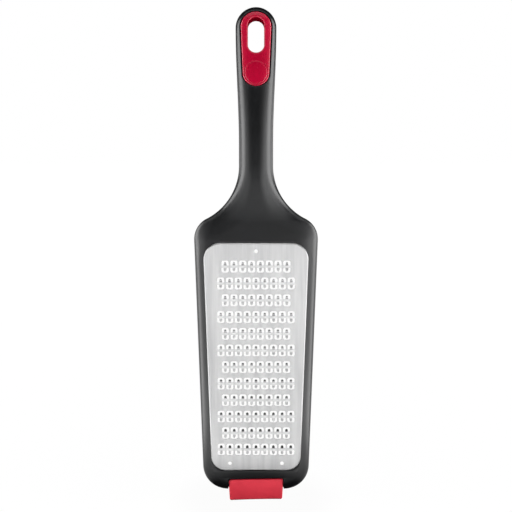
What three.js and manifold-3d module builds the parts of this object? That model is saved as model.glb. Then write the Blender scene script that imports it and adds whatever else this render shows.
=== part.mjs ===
// Hand grater, upright as it hangs from a hook: millimetres, +Z up, the teeth face -Y.
// While the pieces are made, heights start at the plastic frame's lower end and depths at its
// front. The finished group is then moved so that the hanging slot's centre is the origin.

import * as THREE from 'three';
import { mergeGeometries, mergeVertices } from 'three/addons/utils/BufferGeometryUtils.js';
import Module from 'manifold-3d';

const wasm = await Module();
wasm.setup();

// Grating plate: steel sheet with its rim turned down into the frame
const plateLength = 151.8;
const plateTopWidth = 69.0;
const plateEndWidth = 58.6;
const plateTopCorner = 10.8;
const plateEndCorner = 9.3;
const sheetThickness = 0.6;
const rimRoll = 0.8;
const skirtDepth = 2.2;
const plateProud = 0.5;

// Teeth: each cell is a bridge between two punched holes, with a point raised over each hole
const cellPitch = 5.75;
const rowPitch = 11.09;
const firstRowDrop = 15.4;
const lastRowMargin = 14.0;
const sideMargin = 3.4;
const holeWidth = 4.6;
const holeHeight = 3.15;
const holeCorner = 1.2;
const bridgeHeight = 1.65;
const toothWidth = 1.8;
const toothReach = 2.2;
const toothRise = 1.1;
const toothCrown = 0.45;
const toothLift = 0.03;
const toothRoot = 0.4;

// Round holes that hold the plate on the mould's pins while the plastic is shot round it
const pinHole = 2.5;
const topPinDrop = 5.3;
const endPinRise = 5.0;
const endPinSpread = 34.4;

// Frame round the plate
const frameDepth = 10.5;
const railWidth = 6.0;
const endBorder = 14.25;
const frameEndCorner = 16.6;
const frameEdgeRun = 6.7;
const frameEdgeRise = 6.0;
const frameSlant = 0.4;
const frameBackEdge = 2.0;
const ledgeWidth = 2.6;
const ledgeDepth = 3.0;
const windowFlare = 2.6;

// Shoulders and neck
const shoulderRise = 1.9;
const shoulderRadius = 15.2;
const neckFillet = 38.6;
const neckWidth = 22.3;
const neckRoundLength = 27.0;
const crownRun = 14.0;
const crownStart = 14.0;

// Handle: it swells out of the frame, bends back and ends in a flattened dome
const gripLength = 88.65;
const gripStraight = 15.0;
const gripThickness = 18.0;
const swellStart = 11.0;
const swellLength = 30.0;
const bendStart = 20.0;
const bendRadius = 843.0;
const handleEndWidth = 26.55;
const handleEndThickness = 13.5;
const handleEndRise = 13.6;
const tipRoundRun = 8.0;
const gripRound = 0.85;
const gripEdge = 0.92;

// Insert that lines the hanging slot, with a bare round spot marked off by a groove below the slot
const insertTopRadius = 9.85;
const insertEndRadius = 8.5;
const insertTopMargin = 3.8;
const insertLength = 48.1;
const flangeThickness = 4.0;
const slotWidth = 10.6;
const slotLength = 22.8;
const slotTopMargin = 7.6;
const slotFlare = 1.3;
const slotBackFlare = 0.2;
const sleeveWall = 2.2;
const spotRadius = 7.1;
const spotGroove = 0.5;
const spotDepth = 1.4;

// Anti-slip foot pushed over a tongue at the frame's lower end
const footTopWidth = 36.5;
const footEndWidth = 34.9;
const footThickness = 9.0;
const footReach = 6.55;
const footCorner = 1.6;
const footRound = 1.2;
const footGap = 1.3;
const footSideGap = 0.3;
const notchDepth = 9.15;
const notchCorner = 1.5;
const tongueWidth = 29.0;
const tongueThickness = 4.0;
const tongueReach = 2.6;
const tongueRootDepth = 2.0;
const rootRise = 2.0;
const rootSink = 1.0;
const beadRise = 0.5;
const beadHeight = 2.4;

// Clearances between the pieces
const plateFit = 0.2;
const insertFit = 0.3;
const tongueFit = 0.3;

// How finely round forms are cut into flat faces; a drawn arc takes twice its number
const cornerFacets = 5;
const holeCornerFacets = 1;
const pinFacets = 4;
const beadFacets = 4;
const frontFacets = 5;
const backFacets = 4;
const rollFacets = 3;
const arcFacets = 7;
const tipFacets = 9;
const gripStations = 9;
const outlineFacets = 8;

// How far a cutting form stands out of what it cuts, and the step for measuring a slope
const cutMargin = 5.0;
const slopeStep = 0.05;

const { lerp, smoothstep } = THREE.MathUtils;

// Places that follow from the sizes
const midDepth = frameDepth / 2;
const plateEnd = endBorder;
const plateTop = plateEnd + plateLength;
const plateFace = -plateProud;
const plateUnder = plateFace + sheetThickness;
const skirtEnd = plateFace + skirtDepth;
const sideSlope = (plateTopWidth - plateEndWidth) / 2 / plateLength;
const sideTilt = Math.atan(sideSlope);
const sideStretch = Math.hypot(1, sideSlope);

// Half-width of the plate's straight side, carried on to any height
function plateSide(z) {
  return plateEndWidth / 2 + (z - plateEnd) * sideSlope;
}

// Half-width of the frame's straight side, one rail outside the plate
function frameSide(z) {
  return plateSide(z) + railWidth * sideStretch;
}

const endRound = new THREE.Vector2(
  frameSide(frameEndCorner) - frameEndCorner * sideStretch,
  frameEndCorner,
);
const shoulder = new THREE.Vector2(
  frameSide(plateTop + shoulderRise) - shoulderRadius * sideStretch,
  plateTop + shoulderRise,
);
const filletAcross = neckWidth / 2 + neckFillet;
const filletClimb = Math.sqrt((neckFillet + shoulderRadius) ** 2 - (filletAcross - shoulder.x) ** 2);
const neck = new THREE.Vector2(filletAcross, shoulder.y + filletClimb);
const shoulderTurn = Math.atan2(neck.y - shoulder.y, neck.x - shoulder.x);
const gripTop = neck.y + gripLength;
const handleTip = gripTop + handleEndRise;
const swellBase = plateTop + swellStart;
const swellTop = swellBase + swellLength;
const bendBase = plateTop + bendStart;

// Height where an arc of the outline meets the frame's straight side
function sideTangent(centre, radius) {
  return centre.y - radius * Math.sin(sideTilt);
}

// Half-width of the body's outline: end corner, straight side, shoulder, neck, grip, end
function halfWidth(z) {
  if (z < sideTangent(endRound, frameEndCorner)) {
    return endRound.x + Math.sqrt(Math.max(frameEndCorner ** 2 - (z - endRound.y) ** 2, 0));
  }
  if (z < sideTangent(shoulder, shoulderRadius)) return frameSide(z);
  if (z < shoulder.y + shoulderRadius * Math.sin(shoulderTurn)) {
    return shoulder.x + Math.sqrt(shoulderRadius ** 2 - (z - shoulder.y) ** 2);
  }
  if (z < neck.y) return neck.x - Math.sqrt(neckFillet ** 2 - (z - neck.y) ** 2);
  if (z < gripTop) return lerp(neckWidth, handleEndWidth, smoothstep(z, neck.y + gripStraight, gripTop)) / 2;
  return (handleEndWidth / 2) * Math.sqrt(Math.max(1 - ((z - gripTop) / handleEndRise) ** 2, 0));
}

// How much wider an edge looks across the section where the outline runs aslant
function slantStretch(z) {
  const below = halfWidth(Math.max(z - slopeStep, 0));
  return Math.hypot(1, (halfWidth(z + slopeStep) - below) / (2 * slopeStep));
}

// Depth of the body's middle line, which bends back along the handle
function spine(z) {
  return midDepth + Math.max(z - bendBase, 0) ** 2 / (2 * bendRadius);
}

// Half the body's thickness along its middle line
function halfDepth(z) {
  const swelling = smoothstep(z, swellBase, swellTop);
  const thinning = smoothstep(z, swellTop, gripTop);
  const grown = lerp(frameDepth, gripThickness, swelling);
  return lerp(grown, handleEndThickness, thinning) / 2;
}

// Fall of a rounded edge: 1 on the rim, 0 once the run is behind
function roundOver(distance, run) {
  const inward = 1 - Math.min(distance / run, 1);
  return 1 - Math.sqrt(1 - inward ** 2);
}

// Fall of the frame's front edge, from its inner line (share 0) to its rim (share 1): a slant that
// turns over at the rim, and wholly round once it has blended into the grip
function edgeFall(share, crown, blend) {
  const slanted = frameSlant * share ** crown + (1 - frameSlant) * (1 - Math.sqrt(1 - share ** 4));
  return lerp(slanted, 1 - Math.sqrt(1 - share ** 2), blend);
}

// One section of the body, from its right side round by the back, as points in the XY plane
function bodySection(z) {
  const width = halfWidth(z);
  const half = halfDepth(z) * (1 - roundOver(Math.max(handleTip - z, 0), tipRoundRun));
  const blend = smoothstep(z, shoulder.y, shoulder.y + neckRoundLength);
  const crown = smoothstep(z, plateTop - crownStart, shoulder.y);
  const widest = gripRound * width;
  const stretch = slantStretch(z);
  const edgeRun = lerp(frameEdgeRun, crownRun, crown);
  const frontRun = Math.min(lerp(edgeRun * stretch, widest, blend), widest);
  const backRun = Math.min(lerp(frameBackEdge * stretch, widest, blend), widest);
  const frontRise = lerp(frameEdgeRise, gripEdge * half, blend);
  const backRise = lerp(frameBackEdge, gripEdge * half, blend);
  const middle = spine(z);
  const frontFall = frontRise * (1 - roundOver(z, frameEdgeRun));
  const backFall = backRise * (1 - roundOver(z, frameBackEdge));
  const corner = (run, side, rise, facets, bow, round) => Array.from({ length: facets + 1 }, (_, i) => {
    const share = Math.max(Math.cos((i / facets) * (Math.PI / 2)), 0);
    return new THREE.Vector3(width - run * (1 - share), side + rise * (1 - edgeFall(share, bow, round)), z);
  });
  const mirrored = (points) => points.map((p) => new THREE.Vector3(-p.x, p.y, p.z));
  const rightBack = corner(backRun, middle + half - backRise, backFall, backFacets, 1, 1);
  const frontEdge = middle - half + frontRise;
  const rightFront = corner(frontRun, frontEdge, -frontFall, frontFacets, 1 + crown, blend);
  return [
    ...rightBack,
    ...mirrored(rightBack).reverse(),
    ...mirrored(rightFront),
    ...rightFront.reverse(),
  ];
}

// Heights along an arc of the outline, for angles in radians
function arcHeights(centreHeight, radius, from, to, facets) {
  return Array.from({ length: facets }, (_, i) => centreHeight + radius * Math.sin(lerp(from, to, i / facets)));
}

// Heights of the body's sections, close together where the outline turns
function bodyHeights() {
  const quarter = Math.PI / 2;
  return [
    ...arcHeights(endRound.y, frameEndCorner, -quarter, -sideTilt, arcFacets),
    plateTop - crownStart,
    plateTop - crownStart / 2,
    ...arcHeights(shoulder.y, shoulderRadius, -sideTilt, shoulderTurn, arcFacets),
    ...arcHeights(neck.y, neckFillet, -shoulderTurn, 0, arcFacets),
    ...Array.from({ length: gripStations }, (_, i) => lerp(neck.y, gripTop, i / gripStations)),
    ...arcHeights(gripTop, handleEndRise, 0, quarter, tipFacets),
  ];
}

// Closed skin through rings of equally many points, with a fan of faces over each end
function loft(rings, startPoint, endPoint) {
  const count = rings[0].length;
  const points = rings.flat();
  const index = [];
  for (let ring = 0; ring + 1 < rings.length; ring += 1) {
    for (let i = 0; i < count; i += 1) {
      const here = ring * count + i;
      const next = ring * count + ((i + 1) % count);
      index.push(here, next, next + count, here, next + count, here + count);
    }
  }
  const start = points.push(startPoint ?? middleOf(rings[0])) - 1;
  const end = points.push(endPoint ?? middleOf(rings.at(-1))) - 1;
  const lastRing = (rings.length - 1) * count;
  for (let i = 0; i < count; i += 1) {
    const next = (i + 1) % count;
    index.push(start, next, i, end, lastRing + i, lastRing + next);
  }
  const geometry = new THREE.BufferGeometry().setFromPoints(points);
  geometry.setIndex(index);
  return geometry;
}

function middleOf(points) {
  const sum = points.reduce((total, point) => total.add(point), new THREE.Vector3());
  return sum.divideScalar(points.length);
}

// Solid for joining and cutting, from a closed geometry
function solid(geometry) {
  const bare = geometry.clone();
  bare.deleteAttribute('normal');
  bare.deleteAttribute('uv');
  const merged = mergeVertices(bare);
  return new wasm.Manifold(new wasm.Mesh({
    numProp: 3,
    vertProperties: merged.attributes.position.array,
    triVerts: new Uint32Array(merged.index.array),
  }));
}

// Named mesh of a finished solid
function piece(name, manifold, material) {
  const { vertProperties, triVerts } = manifold.getMesh();
  const geometry = new THREE.BufferGeometry();
  geometry.setAttribute('position', new THREE.BufferAttribute(vertProperties, 3));
  geometry.setIndex(new THREE.BufferAttribute(triVerts, 1));
  geometry.computeVertexNormals();
  const mesh = new THREE.Mesh(geometry, material);
  mesh.name = name;
  return mesh;
}

// Outline drawn across and upwards, given thickness from a front depth to a back depth
function prism(shapes, front, back, curveSegments = outlineFacets) {
  const geometry = new THREE.ExtrudeGeometry(shapes, {
    depth: back - front,
    bevelEnabled: false,
    curveSegments,
  });
  return geometry.rotateX(Math.PI / 2).translate(0, back, 0);
}

// Outline with slanting sides and round corners, inset by a distance, clockwise from the front
function roundedOutline(form, inset) {
  const slope = (form.topWidth - form.endWidth) / 2 / (form.top - form.end);
  const tilt = Math.atan(slope);
  const arc = (height, radius, from, to) => Array.from({ length: cornerFacets + 1 }, (_, i) => {
    const angle = lerp(from, to, i / cornerFacets);
    const side = form.endWidth / 2 + (height - form.end) * slope;
    const across = side - radius * Math.hypot(1, slope) + (radius - inset) * Math.cos(angle);
    return new THREE.Vector2(across, height + (radius - inset) * Math.sin(angle));
  });
  const right = [
    ...arc(form.top - form.topCorner, form.topCorner, Math.PI / 2, -tilt),
    ...arc(form.end + form.endCorner, form.endCorner, -tilt, -Math.PI / 2),
  ];
  const left = right.map((point) => new THREE.Vector2(-point.x, point.y)).reverse();
  return [...right, ...left];
}

function plateOutline(inset) {
  return roundedOutline({
    topWidth: plateTopWidth,
    endWidth: plateEndWidth,
    top: plateTop,
    end: plateEnd,
    topCorner: plateTopCorner,
    endCorner: plateEndCorner,
  }, inset);
}

function notchOutline() {
  const width = footTopWidth + 2 * footSideGap;
  return roundedOutline({
    topWidth: width,
    endWidth: width,
    top: notchDepth,
    end: -footReach,
    topCorner: notchCorner,
    endCorner: notchCorner,
  }, 0);
}

function footOutline(inset) {
  return roundedOutline({
    topWidth: footTopWidth,
    endWidth: footEndWidth,
    top: notchDepth - footGap,
    end: -footReach,
    topCorner: footCorner,
    endCorner: footCorner,
  }, inset);
}

// An outline's points at one depth, as a ring for a loft from front to back
function ringAt(outline, depth) {
  return outline.map((point) => new THREE.Vector3(point.x, depth, point.y));
}

// Two round ends joined by their tangents, the upper one centred at the given height
function capsule(topRadius, endRadius, topHeight, endHeight) {
  const lean = Math.asin((topRadius - endRadius) / (topHeight - endHeight));
  const shape = new THREE.Shape();
  shape.absarc(0, topHeight, topRadius, -lean, Math.PI + lean, false);
  shape.absarc(0, endHeight, endRadius, Math.PI + lean, 2 * Math.PI - lean, false);
  return shape;
}

function disc(x, z, radius) {
  return new THREE.Shape().absarc(x, z, radius, 0, 2 * Math.PI, false);
}

// Hanging slot and insert, in a frame whose origin is the slot's centre, square to the handle
const slotHeight = handleTip - slotTopMargin - slotLength / 2;
const slotDepth = spine(slotHeight);
const slotLean = Math.atan((slotHeight - bendBase) / bendRadius);
const slotHalf = halfDepth(slotHeight);
const insertTop = handleTip - insertTopMargin - slotHeight;
const flangeSeat = -slotHalf + flangeThickness;
const spotHeight = insertTop - insertLength + insertEndRadius;

function seated(geometry) {
  return geometry.rotateX(-slotLean).translate(0, slotDepth, slotHeight);
}

function insertOutline(outset) {
  return capsule(
    insertTopRadius + outset,
    insertEndRadius + outset,
    insertTop - insertTopRadius,
    spotHeight,
  );
}

function slotOutline(outset) {
  const radius = slotWidth / 2;
  return capsule(radius + outset, radius + outset, slotLength / 2 - radius, radius - slotLength / 2);
}

// The insert's space in the handle: a pocket for the flange and a way through for the sleeve
function insertForm(outset, seat) {
  const front = -slotHalf - gripThickness;
  const flange = solid(seated(prism(insertOutline(outset), front, seat)));
  const sleeve = solid(seated(prism(slotOutline(sleeveWall + outset), front, -front)));
  return flange.add(sleeve);
}

// The slot itself, straight through and flared at the front and the back
function slotCut() {
  const ring = (outset, depth) => slotOutline(outset)
    .getSpacedPoints(2 * outlineFacets)
    .slice(0, -1)
    .map((point) => new THREE.Vector3(point.x, depth, point.y))
    .reverse();
  const mouth = slotHalf + cutMargin;
  return solid(seated(loft([
    ring(cutMargin + slotFlare, -mouth),
    ring(0, slotFlare - slotHalf),
    ring(0, slotHalf - slotBackFlare),
    ring(cutMargin + slotBackFlare, mouth),
  ])));
}

// Tongue inside the foot: a side profile with a snap bead, drawn out across the frame
function tongueForm(outset) {
  const half = tongueThickness / 2 + outset;
  const top = notchDepth + tongueRootDepth + outset;
  const end = -tongueReach - outset;
  const beadMiddle = -tongueReach + beadHeight;
  const beadHalf = beadHeight / 2 + outset;
  const width = tongueWidth + 2 * outset;
  const profile = new THREE.Shape();
  profile.moveTo(midDepth - half, end);
  profile.lineTo(midDepth + half, end);
  profile.lineTo(midDepth + half, beadMiddle - beadHalf);
  profile.quadraticCurveTo(
    midDepth + half + 2 * beadRise, beadMiddle,
    midDepth + half, beadMiddle + beadHalf,
  );
  profile.lineTo(midDepth + half, top);
  profile.lineTo(midDepth - half, top);
  profile.lineTo(midDepth - half, beadMiddle + beadHalf);
  profile.quadraticCurveTo(
    midDepth - half - 2 * beadRise, beadMiddle,
    midDepth - half, beadMiddle - beadHalf,
  );
  const geometry = new THREE.ExtrudeGeometry(profile, {
    depth: width,
    bevelEnabled: false,
    curveSegments: beadFacets,
  });
  return solid(geometry.rotateX(Math.PI / 2).rotateZ(Math.PI / 2).translate(-width / 2, 0, 0));
}

// Root of the tongue: a web as wide as the notch, so that nothing shows through beside the foot
function rootForm(outset) {
  const half = tongueThickness / 2 + outset;
  const across = footTopWidth / 2 + footSideGap + rootSink;
  const top = notchDepth + tongueRootDepth;
  const web = new THREE.Shape([
    new THREE.Vector2(-across, rootRise - outset),
    new THREE.Vector2(across, rootRise - outset),
    new THREE.Vector2(across, top),
    new THREE.Vector2(-across, top),
  ]);
  return solid(prism(web, midDepth - half, midDepth + half));
}

// Outside of the handle and frame before anything is cut from it
const heights = bodyHeights();
const tip = new THREE.Vector3(0, spine(handleTip), handleTip);
const bodyForm = solid(loft(heights.map(bodySection), undefined, tip));

// Opening behind the plate: straight along the ledge that carries the rim, then wider to the back
function windowForm() {
  const back = frameDepth + cutMargin;
  const flare = (windowFlare * (back - ledgeDepth)) / (frameDepth - ledgeDepth);
  return solid(loft([
    ringAt(plateOutline(ledgeWidth), -cutMargin),
    ringAt(plateOutline(ledgeWidth), ledgeDepth),
    ringAt(plateOutline(ledgeWidth - flare), back),
  ]));
}

// Handle and frame, one moulding: window, seat and groove for the plate, pocket for the insert,
// and a notch with a tongue for the foot
function makeBody() {
  const groove = new THREE.Shape(plateOutline(-plateFit));
  groove.holes.push(new THREE.Path(plateOutline(sheetThickness + plateFit).reverse()));
  const seat = prism(new THREE.Shape(plateOutline(-plateFit)), -cutMargin, plateUnder + plateFit);
  const channel = prism(groove, -cutMargin, skirtEnd + plateFit);
  const notch = prism(new THREE.Shape(notchOutline()), -cutMargin, frameDepth + cutMargin);
  return bodyForm
    .subtract(solid(seat))
    .subtract(solid(channel))
    .subtract(windowForm())
    .subtract(insertForm(insertFit, flangeSeat + insertFit))
    .subtract(solid(notch))
    .add(tongueForm(0))
    .add(rootForm(0));
}

// Centres of the cells: rows of two lengths by turns, the shorter one first
function cellCentres() {
  const rows = 1 + Math.floor((plateLength - firstRowDrop - lastRowMargin) / rowPitch);
  const longRow = 1 + Math.floor((plateEndWidth - 2 * sideMargin - holeWidth) / cellPitch);
  return Array.from({ length: rows }, (_, row) => {
    const cells = row % 2 === 0 ? longRow - 1 : longRow;
    const height = plateTop - firstRowDrop - row * rowPitch;
    return Array.from({ length: cells }, (__, i) => (
      new THREE.Vector2((i - (cells - 1) / 2) * cellPitch, height)
    ));
  }).flat();
}

// Punched hole above (side 1) or below (side -1) a cell's bridge, round at its far corners
function holeOutline(cell, side) {
  const near = cell.y + (side * bridgeHeight) / 2;
  const far = near + side * holeHeight;
  const half = holeWidth / 2;
  const turn = far - side * holeCorner;
  const flat = half - holeCorner;
  const shape = new THREE.Shape();
  shape.moveTo(cell.x - half, near);
  shape.lineTo(cell.x + half, near);
  shape.lineTo(cell.x + half, turn);
  shape.absarc(cell.x + flat, turn, holeCorner, 0, (side * Math.PI) / 2, side < 0);
  shape.absarc(cell.x - flat, turn, holeCorner, (side * Math.PI) / 2, side * Math.PI, side < 0);
  shape.closePath();
  return shape;
}

// Tooth on a cell's bridge: a ridge that dips in the middle and rises to a point at each end
function toothForm(cell) {
  const reach = bridgeHeight / 2 + toothReach;
  const at = (x, y, z) => new THREE.Vector3(cell.x + x, plateFace + y, cell.y + z);
  const base = [
    at(0, -toothRise, reach),
    at(toothWidth / 2, -toothLift, 0),
    at(0, -toothRise, -reach),
    at(-toothWidth / 2, -toothLift, 0),
  ];
  return loft([base], at(0, -toothCrown, 0), at(0, toothRoot, 0));
}

// Grating plate: a shallow tray of sheet with all its holes cut and its teeth raised
function makePlate() {
  const roll = (radius, first) => Array.from({ length: rollFacets + 1 }, (_, i) => {
    const angle = (i / rollFacets) * (Math.PI / 2);
    const inset = first + radius * (1 - Math.sin(angle));
    return ringAt(plateOutline(inset), plateFace + rimRoll - radius * Math.cos(angle));
  });
  const tray = solid(loft([
    ...roll(rimRoll, 0),
    ringAt(plateOutline(0), skirtEnd),
    ringAt(plateOutline(sheetThickness), skirtEnd),
    ...roll(rimRoll - sheetThickness, sheetThickness).reverse(),
  ]));
  const cells = cellCentres();
  const pins = [
    disc(0, plateTop - topPinDrop, pinHole / 2),
    disc(endPinSpread / 2, plateEnd + endPinRise, pinHole / 2),
    disc(-endPinSpread / 2, plateEnd + endPinRise, pinHole / 2),
  ];
  const holes = cells.flatMap((cell) => [holeOutline(cell, 1), holeOutline(cell, -1)]);
  const front = plateFace - cutMargin;
  const back = plateUnder + cutMargin;
  return tray
    .subtract(solid(prism(holes, front, back, holeCornerFacets)))
    .subtract(solid(prism(pins, front, back, pinFacets)))
    .add(solid(mergeGeometries(cells.map(toothForm))));
}

// Insert: flange flush with the handle's face, sleeve through to its back, slot and groove round the spot
function makeInsert() {
  const grooveFloor = -slotHalf + spotDepth;
  const ring = disc(0, spotHeight, spotRadius + spotGroove);
  ring.holes.push(disc(0, spotHeight, spotRadius));
  const groove = prism(ring, -slotHalf - gripThickness, grooveFloor);
  return insertForm(0, flangeSeat)
    .intersect(bodyForm)
    .subtract(slotCut())
    .subtract(solid(seated(groove)));
}

// Foot: a soft block with round edges and a pocket for the tongue and its root
function makeFoot() {
  const edge = (facing) => Array.from({ length: rollFacets + 1 }, (_, i) => {
    const angle = (i / rollFacets) * (Math.PI / 2);
    const inset = footRound * (1 - Math.sin(angle));
    const out = footThickness / 2 - footRound * (1 - Math.cos(angle));
    return ringAt(footOutline(inset), midDepth + facing * out);
  });
  const block = loft([...edge(-1), ...edge(1).reverse()]);
  return solid(block)
    .subtract(tongueForm(tongueFit))
    .subtract(rootForm(tongueFit));
}

const nylon = new THREE.MeshStandardMaterial({ color: 0x1d1d1f, roughness: 0.45, metalness: 0 });
const steel = new THREE.MeshStandardMaterial({ color: 0xc9cacb, roughness: 0.35, metalness: 1 });
const redPlastic = new THREE.MeshStandardMaterial({ color: 0xb00f30, roughness: 0.3, metalness: 0 });
const softRed = new THREE.MeshStandardMaterial({ color: 0xcc3c49, roughness: 0.7, metalness: 0 });

const grater = new THREE.Group();
grater.position.set(0, -slotDepth, -slotHeight);
grater.add(
  piece('body', makeBody(), nylon),
  piece('grating_plate', makePlate(), steel),
  piece('hanging_insert', makeInsert(), redPlastic),
  piece('anti_slip_foot', makeFoot(), softRed),
);

const model = new THREE.Group();
model.add(grater);

export default model;
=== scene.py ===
import math

import bmesh
import bpy
import numpy as np
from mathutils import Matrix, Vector


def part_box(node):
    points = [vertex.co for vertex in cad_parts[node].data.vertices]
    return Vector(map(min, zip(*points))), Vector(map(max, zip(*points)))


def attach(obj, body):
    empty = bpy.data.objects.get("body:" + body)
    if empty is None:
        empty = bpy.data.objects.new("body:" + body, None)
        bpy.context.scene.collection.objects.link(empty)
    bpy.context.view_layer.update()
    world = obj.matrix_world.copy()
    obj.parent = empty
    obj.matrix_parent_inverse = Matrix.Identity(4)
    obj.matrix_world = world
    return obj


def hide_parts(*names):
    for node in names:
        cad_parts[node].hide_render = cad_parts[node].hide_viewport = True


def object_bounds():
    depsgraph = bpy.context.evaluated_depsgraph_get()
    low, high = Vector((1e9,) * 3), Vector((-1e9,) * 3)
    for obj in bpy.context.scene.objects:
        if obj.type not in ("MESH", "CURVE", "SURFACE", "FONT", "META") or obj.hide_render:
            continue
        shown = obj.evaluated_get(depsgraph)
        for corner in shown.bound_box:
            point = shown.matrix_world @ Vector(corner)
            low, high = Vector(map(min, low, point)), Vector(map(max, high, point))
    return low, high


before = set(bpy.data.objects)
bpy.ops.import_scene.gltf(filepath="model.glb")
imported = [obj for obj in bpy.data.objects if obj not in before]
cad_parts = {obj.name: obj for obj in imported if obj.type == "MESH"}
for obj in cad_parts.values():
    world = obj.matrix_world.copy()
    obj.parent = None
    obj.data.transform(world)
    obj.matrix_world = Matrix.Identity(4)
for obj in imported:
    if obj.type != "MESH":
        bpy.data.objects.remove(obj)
cad_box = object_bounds()
scene = bpy.context.scene

# Sizes are in millimetres, in the part's own drawing frame: heights start at the frame's lower end,
# depths at its front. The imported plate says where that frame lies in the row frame.
MM = 0.001

# Grating plate
PLATE_LENGTH = 151.8
PLATE_TOP_WIDTH = 69.0
PLATE_END_WIDTH = 58.6
PLATE_TOP_CORNER = 10.8
PLATE_END_CORNER = 9.3
SHEET = 0.6
RIM_ROLL = 0.8
SKIRT_DEPTH = 2.2
PLATE_PROUD = 0.5

# Teeth
CELL_PITCH = 5.75
ROW_PITCH = 11.09
FIRST_ROW_DROP = 15.4
ROWS = 12
LONG_ROW = 9
HOLE_WIDTH = 4.6
HOLE_HEIGHT = 3.15
HOLE_CORNER = 1.2
BRIDGE_HEIGHT = 1.65
TOOTH_WIDTH = 1.8
TOOTH_REACH = 2.2
TOOTH_RISE = 1.1
TOOTH_CURL = 0.7
TOOTH_POWER = 3
TOOTH_START = 0.044
BRIDGE_CROWN = 0.12
PIN_RADIUS = 1.25
TOP_PIN_DROP = 5.3
END_PIN_RISE = 5.0
END_PIN_SPREAD = 34.4

# Frame round the plate
FRAME_DEPTH = 10.5
RAIL_WIDTH = 6.0
END_BORDER = 14.25
FRAME_END_CORNER = 16.6
FRAME_EDGE_RUN = 6.7
FRAME_EDGE_RISE = 6.0
FRAME_SLANT = 0.4
FRAME_EDGE_POWER = 4
CROWN_RUN = 14.0
CROWN_START = 14.0
FRAME_BACK_EDGE = 2.0
LEDGE_WIDTH = 2.6
LEDGE_DEPTH = 3.0
WINDOW_FLARE = 2.6
PLATE_FIT = 0.2

# Shoulders, neck and handle. The neck's rounding and swell follow the photo's shading, so the neck
# lies up to 1 mm inside the solids.
SHOULDER_RISE = 1.9
SHOULDER_RADIUS = 15.2
NECK_FILLET = 38.6
NECK_WIDTH = 22.3
NECK_ROUND_START = -4.0
NECK_ROUND_LENGTH = 21.5
GRIP_LENGTH = 88.65
GRIP_STRAIGHT = 15.0
GRIP_THICKNESS = 18.0
SWELL_START = 13.0
SWELL_LENGTH = 37.0
BEND_START = 20.0
BEND_RADIUS = 843.0
HANDLE_END_WIDTH = 26.55
HANDLE_END_THICKNESS = 13.5
HANDLE_END_RISE = 13.6
TIP_ROUND_RUN = 8.0
GRIP_ROUND = 0.85
GRIP_EDGE = 0.92
LEAST_WIDTH = 0.01

# Insert round the hanging slot
INSERT_TOP_RADIUS = 9.85
INSERT_END_RADIUS = 8.5
INSERT_TOP_MARGIN = 3.8
INSERT_LENGTH = 48.1
INSERT_EDGE = 0.5
FLANGE_THICKNESS = 4.0
SLOT_WIDTH = 10.6
SLOT_LENGTH = 22.8
SLOT_TOP_MARGIN = 7.6
SLOT_FLARE = 1.3
SLOT_BACK_FLARE = 0.2
SLEEVE_WALL = 2.2
SPOT_RADIUS = 7.1
SPOT_GROOVE = 0.5
SPOT_DEPTH = 0.2
SPOT_LIP = 0.25
INSERT_FIT = 0.3
SHADOW_GAP = 0.3
SHADOW_DEPTH = 1.2

# Foot
FOOT_TOP_WIDTH = 36.5
FOOT_END_WIDTH = 34.9
FOOT_THICKNESS = 9.0
FOOT_REACH = 6.55
FOOT_CORNER = 1.2
FOOT_ROUND = 1.0
FOOT_GAP = 1.3
FOOT_SLANT = 0.024
FOOT_HOLLOW = 0.25
FOOT_SIDE_GAP = 0.3
NOTCH_DEPTH = 9.15
NOTCH_CORNER = 1.5
TONGUE_WIDTH = 29.0
TONGUE_THICKNESS = 4.0
TONGUE_REACH = 2.6
TONGUE_FIT = 0.3
ROOT_DEPTH = 2.0
ROOT_RISE = 2.0
ROOT_SINK = 1.0

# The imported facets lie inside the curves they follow, so the curves shrink by this to stay in their box
TRIM = 0.055

# Rounding of the moulding's cut edges, and how far a cutter stands out
LIP = 0.45
CUT_MARGIN = 5.0

# Fineness of the meshes: steps round an edge, rings along a piece, points round an outline
EDGE_STEPS = 6
LIP_STEPS = 5
GROOVE_STEPS = 4
HOLE_STEPS = 5
CORNER_STEPS = 10
STRAIGHT_POINTS = 8
END_RINGS = 18
SIDE_RINGS = 40
SHOULDER_RINGS = 22
NECK_RINGS = 30
GRIP_RINGS = 46
TIP_RINGS = 30
FACE_RINGS = 25
FRONT_STEPS = 24
BACK_STEPS = 16
CAPSULE_POINTS = 160
CIRCLE_POINTS = 96
PIN_POINTS = 28
ARC_POINTS = 200
BRIDGE_SIDE_COLUMNS = 4
TOOTH_COLUMNS = 10
TOOTH_ROWS = 7
BRIDGE_ROWS = 3

# Gaps beside the first ring of the sides and at the tip, the search for the handle's face at the slot,
# and the step over which a slope is taken
SIDE_START = 1.2
TIP_GAP = 0.004
SETTLE_ROUNDS = 8
SETTLE_SHARE = 0.8
SLOPE_STEP = 0.05

# Shading: creases in degrees, how flat the sheet is, and which faces take a piece's other materials
CREASE = 32
PLATE_CREASE = 38
FLAT_TURN = 0.99999
# Faces of the upper teeth take a darker steel of painted shade, those of the bridges and lower teeth a
# lighter steel of painted light
UPPER_TOOTH_SHADE = 1
LOWER_TOOTH_LIGHT = 2
# The slot's wall takes a darker red of painted shade
SLOT_WALL_SHADE = 1
# The insert's rounded rims take a lighter red of painted highlight
INSERT_RIM_HIGHLIGHT = 2
RIM_TURN = 0.84
WALL_SHARE = 0.1

# Guards against division by nothing, and the length in metres under which an edge is closed up
TINY = 1e-6
CLOSED = 1e-7

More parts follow.
